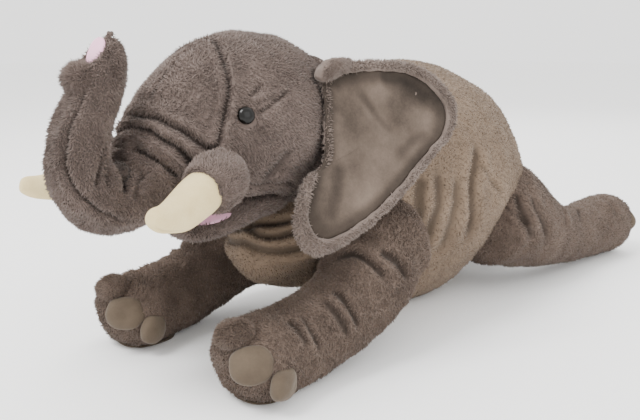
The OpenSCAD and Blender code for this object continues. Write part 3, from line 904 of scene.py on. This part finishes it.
    def build(self) -> None:
        """Makes the skin and its fur, each one piece over head and trunk that rides on no body."""
        grid = self.grid()
        skin = skin_object("face_skin", grid)
        FACE_PLUSH.dress(skin)
        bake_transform(skin)
        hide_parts("head_cover", "trunk_cover")
        eye = np.array(self.eye)
        bare = lambda q: ease(np.linalg.norm(np.abs(q) * (1, 0, 0) + q * (0, 1, 1) - eye, axis=-1), 7.0, 9.0)
        middle = grid.points.mean(1)
        front = int(np.argmax(middle[:, 1] < -300))
        keep_head = lambda q: bare(q) * ease(-q[..., 1], 108, 116) * (
            1 - ease(-q[..., 1], 222, 226) * (q[..., 2] < 152) * (np.abs(q[..., 0]) < 56)
        )
        fur = self.head_pile.sow("head_pile", grid.rows(0, front + 1), (0, 0.8, -0.75), keep_head)
        tip = np.array([0.0, -352, 262.5])
        keep_trunk = lambda q: ease(np.linalg.norm((q - tip) / (9.5, 9.0, 12.5), axis=-1), 0.95, 1.05)
        long = self.trunk_pile.sow("trunk_pile", grid.rows(front, len(middle)), (0, -0.3, -0.9), keep_trunk)
        for piece in (fur, long):
            FACE_PLUSH.dress(piece)
            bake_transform(piece)
            LOG.info("%s bends between head and trunk", piece.name)
        fill_piece("head_fill", grid.rows(18, front), "head", "head_stuffing", 7.5)
        fill_piece("trunk_fill", grid.rows(front + 2, len(middle)), "trunk", "trunk_stuffing", 7.5)
        self.trunk_tip()
        for side in (1, -1):
            self.eye_piece(side)

    def trunk_tip(self) -> None:
        """The pink patch in the open tip and the furry lower lip."""
        axes = frame_of(np.array([0, -0.93, 0.37]), np.array([0, 0.37, 0.93]))
        patch = dome(np.array([0, -348.6, 262.0]), axes, (9.4, 12.6, 3.4), power=0.92)
        place_piece(skin_object("nostril_patch", patch), "trunk", PINK_FELT, "pink_lining", "nostril_lining")
        lip = dome(
            np.array([0, -362.5, 244.5]),
            frame_of(np.array([0, -0.9, 0.3]), np.array([0, 0.3, 0.9])),
            (9.0, 10.0, 9.5)
        )
        lip.push(1.0 * lumps(lip.points, 11, 31))
        place_piece(skin_object("trunk_lip", lip), "trunk", FACE_PLUSH, "plush", "trunk_tip_lip")
        fur = Pile(
            3400, seed=32, length=5.2, thick=0.8, lean=40, ruffle=1.0
        ).sow("trunk_lip_pile", lip, (0, -0.8, -0.5))
        place_piece(fur, "trunk", FACE_PLUSH, "plush")

    def eye_piece(self, side: int) -> None:
        """A glossy safety eye: a domed cap on a thin flange."""
        name = "left" if side > 0 else "right"
        flip = np.array([side, 1, 1])
        out = unit(np.array(self.eye_out)) * flip
        axes = frame_of(out, np.array([0.0, 0, 1]))
        centre = np.array(self.eye) * flip
        cap = dome(centre + out * 1.2, axes, (6.8, 6.8, 4.6))
        place_piece(skin_object(f"eye_cap_{name}", cap), "head", EYE_GLOSS, "eye_plastic", f"eye_{name}")
        WASHER.dress(bpy.data.objects[f"eye_washer_{name}"])


@dataclass
class Tusk:
    """One tusk and the fleshy pouch it grows from."""

    side: int = 1
    at: Vec = (63, -292, 171)
    aim: Vec = (16, -56, -16)
    long: float = 62.0
    radius: float = 16.0

    def build(self) -> None:
        """Makes the pouch, its fur, the tusk and its filling."""
        name = "left" if self.side > 0 else "right"
        at, aim = np.array(self.at, float), unit(np.array(self.aim, float))
        start = at + aim * 18.5
        steps = (
            (-24, 8), (-19, 15.5), (-10, 20.5), (0, 22.0), (11, 21.5), (17.5, 19.5), (19.5, 16.0),
            (14, 14.0)
        )
        rows = np.array([(*(at + aim * k), r, r, 0) for k, r in steps])
        pouch = tube(rows, 90, 100)
        top = unit(np.array([-0.35, 0.1, 0.93]))
        line = tuple(
            tuple(at + aim * k + top * r) for k,
            r in ((-22, 13), (-10, 20.5), (0, 22), (11, 21.5), (18, 19))
        )
        pouch.push(0.7 * lumps(pouch.points, 24, 41))
        pouch.emboss(
            (
                Fold(line, 2.6, 2.2, 0.5, both=False),
                Fold(
                    tuple(
                        tuple(at + aim * k + unit(np.array([0.8, 0.2, -0.5])) * r) for k,
                        r in ((-12, 20), (2, 22), (14, 21))
                    ),
                    1.6, 3.0, 0.6, both=False
                )
            ),
            inset=1.6
        )
        bends = (
            (0, 0, 0, 0.97), (0.08, -0.26, -0.10, 0.95), (0.17, -0.51, -0.165, 0.8),
            (0.26, -0.75, -0.165, 0.62), (0.32, -0.90, -0.135, 0.47), (0.345, -0.965, -0.115, 0.3)
        )
        rows = np.array(
            [(*(start - aim * 12), 0.85 * self.radius, 0.85 * self.radius, 0)]
            + [
                (*(start + self.long * np.array(b[:3])), b[3] * self.radius, b[3] * self.radius, 0)
                for b in bends
            ]
        )
        tusk = tube(rows, 90, 70)
        tusk.push(0.4 * lumps(tusk.points, 26, 42))
        under = tuple(
            tuple(start + self.long * np.array(b[:3]) + b[3] * self.radius * np.array([0.5, 0.1, -0.85]))
            for b in bends
        )
        tusk.emboss((Fold(under, 0.9, 1.2, 0.4, both=False),))
        # painted shade where the tusk goes into its pouch
        tusk.crease = np.maximum(tusk.crease, 0.5 * (1 - ease(((tusk.points - start) @ aim), -1, 5)))
        if self.side < 0:
            pouch, tusk = pouch.mirrored(), tusk.mirrored()
        place_piece(
            skin_object(f"pouch_skin_{name}", pouch), "head", FACE_PLUSH, "plush", f"tusk_pouch_{name}"
        )
        fur = Pile(7000, seed=43, length=3.0, thick=0.75).sow(
            f"pouch_pile_{name}", pouch.rows(0, 75), (0, 0.3, 0.9)
        )
        place_piece(fur, "head", FACE_PLUSH, "plush")
        piece = place_piece(
            skin_object(f"tusk_skin_{name}", tusk), "head", TUSK_FELT, "tusk_fabric", f"tusk_cover_{name}"
        )
        fill_piece(f"tusk_fill_{name}", tusk, "head", f"tusk_stuffing_{name}", 3.0)


@dataclass
class Jaw:
    """The broad lower jaw with its pink tongue."""

    pile: Pile = Pile(9500, seed=51, length=3.8, thick=0.8)

    def build(self) -> None:
        """Makes the jaw, its fur, its filling and the pink linings."""
        rows = np.array([
            (0, -194, 145, 40, 7, 0),
            (0, -202, 144, 50, 11.5, 0),
            (0, -216, 141, 53, 14.5, 0),
            (0, -232, 136.5, 49, 14.8, 0),
            (0, -248, 130.5, 45, 13.4, 0),
            (0, -262, 124.5, 39, 11.6, 0),
            (0, -273, 120, 30, 9.5, 0),
            (0, -281, 117, 16, 6, 0),
        ])
        grid = tube(rows, 90, 120)
        grid.push(0.5 * lumps(grid.points, 22, 52))
        grid.emboss((), inset=1.8)
        skin = place_piece(skin_object("jaw_skin", grid), "jaw", FACE_PLUSH, "plush", "jaw_cover")
        fill_piece("jaw_fill", grid, "jaw", "jaw_stuffing", 5.0)
        tilt = math.radians(21.3)
        level = np.array([0, -238, 139.8])
        above = np.array([0, -math.sin(tilt), math.cos(tilt)])
        fore = np.array([0, -math.cos(tilt), -math.sin(tilt)])
        keep = lambda q: 1 - (
            np.linalg.norm((q - level - fore * 19)[..., :2] / (33, 22), axis=-1) < 1
        ) * ((q - level) @ above > -3)
        open_part = lambda q: keep(q) * (q[..., 1] < -210)
        place_piece(self.pile.sow("jaw_pile", grid, (0, 0.9, -0.3), open_part), "jaw", FACE_PLUSH, "plush")
        tongue = dome(level + above * 0.8 + fore * 19, frame_of(above, fore), (34, 23, 3.4))
        place_piece(skin_object("tongue_lining", tongue), "jaw", PINK_FELT, "pink_lining", "jaw_lining")
        PINK_FELT.dress(bpy.data.objects["palate_lining"])


@dataclass
class Ear:
    """A broad floppy ear: plush back, rolled rim, velvet front, and a rolled knot at the head."""

    side: int = 1
    mid: Vec = (78.5, -193, 205)
    edge: tuple[tuple[float, float], ...] = (
        (0, 42), (24, 54), (56, 60), (90, 62), (116, 52), (133, 30), (129, 6), (110, -14), (90, -34),
        (70, -54), (42, -78), (10, -98), (-13, -104), (-26, -91), (-27, -68), (-18, -46), (-3, -32), (0, 4),
    )
    core: tuple[float, float] = (46, -8)
    pile: Pile = Pile(19000, seed=61, length=3.6, thick=0.8, ruffle=0.9)

    def __post_init__(self) -> None:
        """Works out the ear's own directions: up its seam, out from the head and back along it."""
        self.up = unit(np.array([-20.0, 19, 81]))
        out = np.array([0.921, -0.259, 0.288])
        self.out = unit(out - self.up * (out @ self.up))
        self.back = -np.cross(self.out, self.up)

    def outline(self, count: int) -> Array:
        """The closed edge as (back, up), evenly spaced."""
        ring = np.array(self.edge + self.edge[:1], float)
        wrapped = np.vstack([ring[-2:-1], ring, ring[1:2]])
        fine = smooth_rows(wrapped, 16)[16:-16]
        walked = np.concatenate([[0], np.cumsum(np.linalg.norm(np.diff(fine, axis=0), axis=1))])
        at = np.linspace(0, walked[-1], count, endpoint=False)
        return np.stack([np.interp(at, walked, fine[:, 0]), np.interp(at, walked, fine[:, 1])], axis=-1)

    def at_seam(self, edge: Array) -> Array:
        """1 where the edge is sewn to the head, 0 round the free edge."""
        s, q = edge[:, 0], edge[:, 1]
        return ease(-s, -9, -2) * ease(q, -52, -36) * ease(-q, -46, -38)

    def plate(
        self, profile: list[tuple[float, float]], rings: int, around: int, flat_seam: float, reach: float
    ) -> Grid:
        """Carries a profile of (share of the radius, height) round the outline.

        A point is core + share (edge - core) in the ear's plane, dished by 5 (share^2 - 1)
        and raised by height.
        Along the seam the heights shrink by flat_seam and the shares grow by reach.

        Args:
            profile: from the front's middle over the edge to the back's middle.
            rings: rows between the two middles.
            around: points on the outline.
            flat_seam: share of the height lost along the seam.
            reach: share gained along the seam.

        Returns:
            The plate, facing outwards.
        """
        line = smooth_rows(np.array(profile, float), 8)
        scaled = line * (90, 1)
        walked = np.concatenate([[0], np.cumsum(np.linalg.norm(np.diff(scaled, axis=0), axis=1))])
        at = np.linspace(0, walked[-1], rings)
        share, high = np.interp(at, walked, line[:, 0])[:, None], np.interp(at, walked, line[:, 1])[:, None]
        edge, core = self.outline(around), np.array(self.core)
        sewn = self.at_seam(edge)[None]
        share = share * (1 + reach * sewn * ease(share, 0.3, 0.8))
        flat = core + (edge - core)[None] * share[..., None]
        lift = high * (1 - flat_seam * sewn * ease(share, 0.4, 0.8)) + 5 * (share**2 - 1)
        wave = 2.2 * lumps(np.dstack([flat, 0 * lift]), 80, 62) * ease(share, 0.1, 0.9) * (1 - sewn)
        grid = Grid(
            np.array(self.mid) + flat[..., :1] * self.back + flat[..., 1:] * self.up
            + (lift + wave)[..., None] * self.out
        )
        middle = grid.points.mean(axis=(0, 1))
        outward = ((grid.points - middle) * grid.normals()).sum(-1).mean() > 0
        return grid if outward else Grid(grid.points[:, ::-1])

    def build(self) -> None:
        """Makes the plush back with its rim and knot, its fur and the velvet front."""
        name = "left" if self.side > 0 else "right"
        body = f"ear_{name}"
        rim = [
            (0.02, 1.6), (0.5, 1.6), (0.84, 1.8), (0.87, 4.4), (0.905, 6.6), (0.95, 6.3), (0.985, 3.4),
            (0.995, 0.4), (0.98, -2.0), (0.9, -2.6), (0.5, -2.4), (0.02, -2.4)
        ]
        grid = self.plate(rim, 120, 260, 0.75, 0.0)
        grid.push(0.7 * lumps(grid.points, 15, 63))
        front = [
            (0.02, 2.8), (0.5, 2.8), (0.82, 3.1), (0.872, 2.6), (0.872, 1.8), (0.8, 1.5), (0.5, 1.3),
            (0.02, 1.3)
        ]
        cloth = self.plate(front, 80, 200, 0.3, 0.14)
        local = cloth.points - np.array(self.mid)
        s, q = local @ self.back, local @ self.up
        plane = np.dstack([s, q, 0 * s])
        streaks = (
            Fold(((30, 36, 0), (44, 22, 0), (58, 8, 0), (74, -6, 0)), 1.2, 5.5, 0.9, both=False),
            Fold(((14, -26, 0), (10, -52, 0), (2, -80, 0)), 1.0, 8.0, 0.8, both=False),
            Fold(((50, 46, 0), (80, 40, 0), (106, 24, 0)), 0.9, 11.0, 0.7, both=False),
            Fold(((70, -24, 0), (86, -6, 0), (104, 2, 0)), 0.9, 6.5, 0.8, both=False),
        )
        height = sum(f.relief(plane) for f in streaks)
        # painted shade: the velvet darker in the streaks' dips and in a band along the inside of the raised
        # rim
        edge_gap = np.linspace(0, 1, cloth.points.shape[0])[:, None]
        under_rim_shade = ease(edge_gap, 0.36, 0.46) * (1 - ease(edge_gap, 0.52, 0.6))
        cloth.crease = np.clip(np.maximum(-height / 1.8, 0) + 0.75 * under_rim_shade + 0 * s, 0, 1)
        cloth.push(np.maximum(0.8 * height, -0.7) + 0.5)
        turn = np.linspace(0, 1, 5)[:, None]
        ends = np.array([(-5, 36), (-3, 41), (3, 46), (11, 50), (20, 53)], float)
        path = np.array(self.mid) + ends[:, :1] * self.back + ends[:, 1:] * self.up + (
            2.5 + 2.0 * np.sin(math.pi * turn)
        ) * self.out
        sizes = np.array([5.0, 7.2, 7.6, 6.6, 4.5])[:, None]
        knot = tube(np.hstack([path, sizes, sizes * 0.9, 0 * sizes]), 60, 50)
        knot.push(0.8 * lumps(knot.points, 10, 64))
        if self.side < 0:
            grid, cloth, knot = grid.mirrored(), cloth.mirrored(), knot.mirrored()
        skin = place_piece(
            skin_object(f"ear_skin_{name}", grid), body, RIM_PLUSH, "plush", f"ear_plush_{name}"
        )
        keep_rows = (np.linspace(0, 1, 120) > 0.44).astype(float)[:-1, None]
        fur = self.pile.sow(f"ear_pile_{name}", grid, (0, 0.5, -0.6), lambda q: keep_rows + 0 * q[..., 0])
        place_piece(fur, body, RIM_PLUSH, "plush")
        place_piece(skin_object(f"ear_knot_{name}", knot), body, RIM_PLUSH, "plush")
        fur = Pile(2200, seed=65, length=3.2, thick=0.75, ruffle=0.9).sow(
            f"ear_knot_pile_{name}", knot, (0, 0.3, -0.9), lambda q: (np.abs(q[..., 0]) > 77) * 1.0
        )
        place_piece(fur, body, RIM_PLUSH, "plush")
        lining = place_piece(
            skin_object(f"ear_velvet_{name}", cloth), body, EAR_VELVET, "ear_velvet", f"ear_lining_{name}"
        )


class Limb(Enum):
    """Which leg a class builds."""

    FORE = "fore"
    HIND = "hind"


@dataclass
class Leg:
    """A padded leg with a rounded foot, three nails and, in front, a sole."""

    limb: Limb
    side: int = 1
    pile: Pile = Pile(27000, seed=71, length=3.1, thick=0.8, ruffle=0.7)
    fore_folds: tuple[Fold, ...] = (
        Fold(((110, -162, 101), (117, -151, 95), (120, -140, 84), (122, -129, 68)), 4.0, 5.0, 0.5),
        Fold(
            ((78, -185, 91), (92, -177, 99), (105, -172, 97), (116, -168, 88), (120, -160, 74)),
            3.6, 4.0, 0.5
        ),
        Fold(((98, -207, 76), (111, -204, 68), (118, -200, 56), (120, -193, 42)), 4.0, 4.0, 0.5),
        Fold(((96, -219, 70), (110, -216, 62), (117, -212, 50), (119, -206, 38)), 3.0, 4.0, 0.5),
        Fold(((96, -257, 66), (111, -256, 61), (117, -254, 54), (121, -252, 42)), 3.0, 3.6, 0.5),
        Fold(((100, -246, 66), (115, -244, 55), (118, -241, 46), (119, -236, 34)), 2.8, 3.6, 0.5),
        Fold(((64, -292, 30), (82, -304, 24), (106, -294, 20), (122, -276, 9)), 1.2, 1.0, 0.3),
    )
    hind_folds: tuple[Fold, ...] = (
        Fold(((104, 77, 117), (110, 75, 103), (118, 78, 85), (121, 92, 62)), 4.2, 4.6, 0.5),
        Fold(((113, 90, 114), (122, 94, 96), (123, 111, 74), (122, 120, 52)), 3.4, 4.6, 0.5),
        Fold(((119, 162, 91), (124, 160, 80), (125, 157, 66)), 3.0, 4.2, 0.5),
        Fold(((103, 237, 77), (112, 222, 74), (121, 208, 60)), 2.8, 4.2, 0.5),
        Fold(((106, 48, 112), (108, 60, 100), (118, 76, 82), (121, 84, 66)), 1.8, 2.4, 0.4),
        Fold(((100, 300, 82), (116, 300, 74), (128, 298, 58)), 2.0, 3.6, 0.5),
    )

    def stations(self) -> tuple[Array, float, float]:
        """Rows along the leg, its squareness and the floor it stands on."""
        d = 33.0
        if self.limb is Limb.FORE:
            s = np.array([69.98, -118, 88])
            rows = [(*s, 50, 50, 0), (*(s + (14, -32, -22)), 40, 44, 0),
                    (s[0] + 18, s[1] - 67, 47, d, 1.12 * d, 0), (
                        s[0] + 16, s[1] - 104, 36, 0.97 * d, 1.08 * d, 0
                    ),
                    (
                        s[0] + 14, s[1] - 130, 33, 1.06 * d, 1.03 * d, 0
                    ), (s[0] + 12, s[1] - 156, 31, 1.16 * d, 0.98 * d, 0),
                    (
                        s[0] + 12, s[1] - 173, 29, 1.02 * d, 0.88 * d, 0
                    ), (s[0] + 12, s[1] - 182, 27, 0.66 * d, 0.62 * d, 0)]
            ball = ball_rows(s, 50, unit(np.array([14.0, -32, -22])))
            return np.vstack([ball, rows]), 0.88, 3.2
        h = np.array([66.1, 110, 80])
        rows = [(*h, 60, 60, 0), (*(h + (16, 40, -20)), 46, 46, 0),
                (h[0] + 24, h[1] + 82, 46, 1.04 * d, 1.08 * d, 0), (
                    h[0] + 27, h[1] + 130, 40, 0.94 * d, 1.04 * d, 0
                ),
                (h[0] + 29, h[1] + 176, 40, d, 1.1 * d, 0), (
                    h[0] + 30, h[1] + 210, 39, 1.08 * d, 1.14 * d, 0
                ),
                (
                    h[0] + 30, h[1] + 235, 40, 0.97 * d, 1.0 * d, 0
                ), (h[0] + 30, h[1] + 246, 41, 0.6 * d, 0.6 * d, 0)]
        ball = ball_rows(h, 60, unit(np.array([16.0, 40, -18])))
        return np.vstack([ball, rows]), 0.92, 0.5

    def nails(self) -> list[tuple[str, Array, Array, Vec]]:
        """Name, middle, outward direction and half sizes of each nail, for the left leg or its mirror image.

        Both front feet are turned the same way, so the right one takes the left one's nails unmirrored.
        """
        found = []
        fore = {0: (21, -2, 8), 1: (36, 16, -8), -1: (1, -1, 27)}
        for k, which in ((-1, "inner"), (0, "middle"), (1, "outer")):
            if self.limb is Limb.FORE:
                x, y, z = fore[self.side * k]
                toe = np.array([82.0 + self.side * x, -296 + y, 31 + z])
                out = np.array([self.side * x, 1.1 * y - 14 if k == 0 else y - 6, 0.55 * z + 4.0])
                found.append((which, toe, out, (16.5, 14.5, 8.0) if k == 0 else (14.0, 12.5, 7.5)))
            else:
                toe = np.array([96.1, 345, 43]) + (k * 22, 7 - 5 * abs(k), 10 - 11 * abs(k))
                found.append((which, toe, np.array([0.7 * k, 1, 0.3]), (12.5 if k else 14.5, 12.5, 9.5)))
        return found

    def build(self) -> None:
        """Makes the leg, its fur, filling, nails and sole."""
        fore = self.limb is Limb.FORE
        tail = "left" if self.side > 0 else "right"
        body = f"{self.limb.value}leg_{tail}"
        stations, square, floor = self.stations()
        grid = tube(stations, 190, 150, square)
        grid.push(1.1 * lumps(grid.points, 40, 72) + 0.6 * lumps(grid.points, 17, 73))
        grid.emboss(self.fore_folds if fore else self.hind_folds, inset=2.0).rest(floor)
        nails = self.nails()
        if self.side < 0:
            grid = grid.mirrored()
        skin = place_piece(
            skin_object(f"{body}_skin", grid), body, LEG_PLUSH, "plush",
            f"{self.limb.value}leg_cover_{tail}"
        )
        fill_piece(f"{body}_fill", grid, body, f"{self.limb.value}leg_stuffing_{tail}")
        flip = np.array([self.side, 1, 1])
        centres = [c * flip + unit(o * flip) * 4 for _, c, o, _ in nails]

        def keep(q: Array) -> Array:
            """No fur under the nails or where the foot rests."""
            far = np.min([np.linalg.norm(q - c, axis=-1) for c in centres], axis=0)
            return ease(far, 11, 13) * (q[..., 2] > floor + 0.6)

        nap = (0, -0.7, -0.6) if fore else (0, 0.75, -0.5)
        fur = self.pile.sow(f"{body}_pile", grid.rows(19, 190), nap, keep, floor=floor * 0.6)
        place_piece(fur, body, LEG_PLUSH, "plush")
        for which, centre, out, radii in nails:
            pad = dome(centre * flip, frame_of(out * flip, np.array([0.0, 0, 1])), radii, power=0.85)
            pad.push(0.5 * lumps(pad.points, 14, 74))
            pad.rest(floor)
            fuzzy = fore and centre[2] > 50
            piece = skin_object(f"{self.limb.value}nail_{which}_{tail}_pad", pad)
            place_piece(
                piece, body, LEG_PLUSH if fuzzy else NAIL_VELVET, "nail_fabric",
                f"{self.limb.value}nail_{which}_{tail}"
            )
            if fuzzy:
                fur = Pile(2400, seed=75, length=3.4, thick=0.75, ruffle=0.9).sow(
                    f"{self.limb.value}nail_{which}_{tail}_pile", pad, (0, -0.7, -0.6)
                )
                place_piece(fur, body, LEG_PLUSH, "plush")
        if fore:
            sole = dome(np.array([82.0, -264, 1.7]) * flip, np.eye(3), (22, 26, 1.9), power=0.8)
            place_piece(
                skin_object(f"foresole_{tail}_pad", sole), body, NAIL_VELVET, "nail_fabric",
                f"foresole_{tail}"
            )


@dataclass
class Studio:
    """Camera, floor and soft light."""

    eye: Vec = (0.502, -0.651, 0.271)
    target: Vec = (-0.433, 0.348, -0.027)
    lens: float = 43.65

    def build(self) -> None:
        """Sets up the camera, the lights, the world and the floor."""
        cam = bpy.data.cameras.new("camera")
        cam.lens, cam.sensor_width = self.lens, 36
        cam.clip_start = 0.02
        view = bpy.data.objects.new("camera", cam)
        view.location = self.eye
        view.rotation_euler = (Vector(self.target) - Vector(self.eye)).to_track_quat("-Z", "Y").to_euler()
        bpy.context.scene.collection.objects.link(view)
        bpy.context.scene.camera = view
        for name, where, size, power in (
            ("key", (-0.3, -1.3, 1.9), 0.9, 48.0),
            ("fill", (1.6, -0.5, 1.0), 1.6, 13.0),
            ("back", (-0.6, 1.5, 1.5), 1.5, 14.0),
        ):
            data = bpy.data.lights.new(name, "AREA")
            data.size, data.energy = size, power
            lamp = bpy.data.objects.new(name, data)
            lamp.location = where
            lamp.rotation_euler = (Vector((0, 0, 0.12)) - Vector(where)).to_track_quat("-Z", "Y").to_euler()
            bpy.context.scene.collection.objects.link(lamp)
        world = bpy.data.worlds.new("studio")
        bpy.context.scene.world = world
        world.use_nodes = True
        back = world.node_tree.nodes["Background"]
        back.inputs[0].default_value = (1.0, 0.995, 0.985, 1)
        back.inputs[1].default_value = 2.0
        corners = np.array([(-9e3, -9e3, 0), (9e3, -9e3, 0), (9e3, 9e3, 0), (-9e3, 9e3, 0)], float)
        floor = new_object("floor", corners, np.arange(4), 4)
        paper = Finish(
            "backdrop_paper", (0.97, 0.97, 0.965), (0.98, 0.98, 0.975), patch=3.0, speck=90.0, sheen=0.0,
            bump=0.02, root=0.0
        )
        paper.dress(floor)


def dress_hidden() -> None:
    """Gives the fibre filling inside the skins its finish."""
    for name, obj in ((o.name, o) for o in bpy.data.objects):
        if "stuffing" in name and obj.type == "MESH":
            FIBRE.dress(obj)


def main() -> None:
    """Builds the parts in order and reports each."""
    logging.basicConfig(level=logging.INFO, format="%(name)s: %(message)s")
    Studio().build()
    Torso().build()
    Tail().build()
    Face().build()
    for side in (1, -1):
        Tusk(side).build()
        Ear(side).build()
        Leg(Limb.FORE, side).build()
        Leg(Limb.HIND, side).build()
    Jaw().build()
    dress_hidden()


if __name__ == "__main__":
    main()
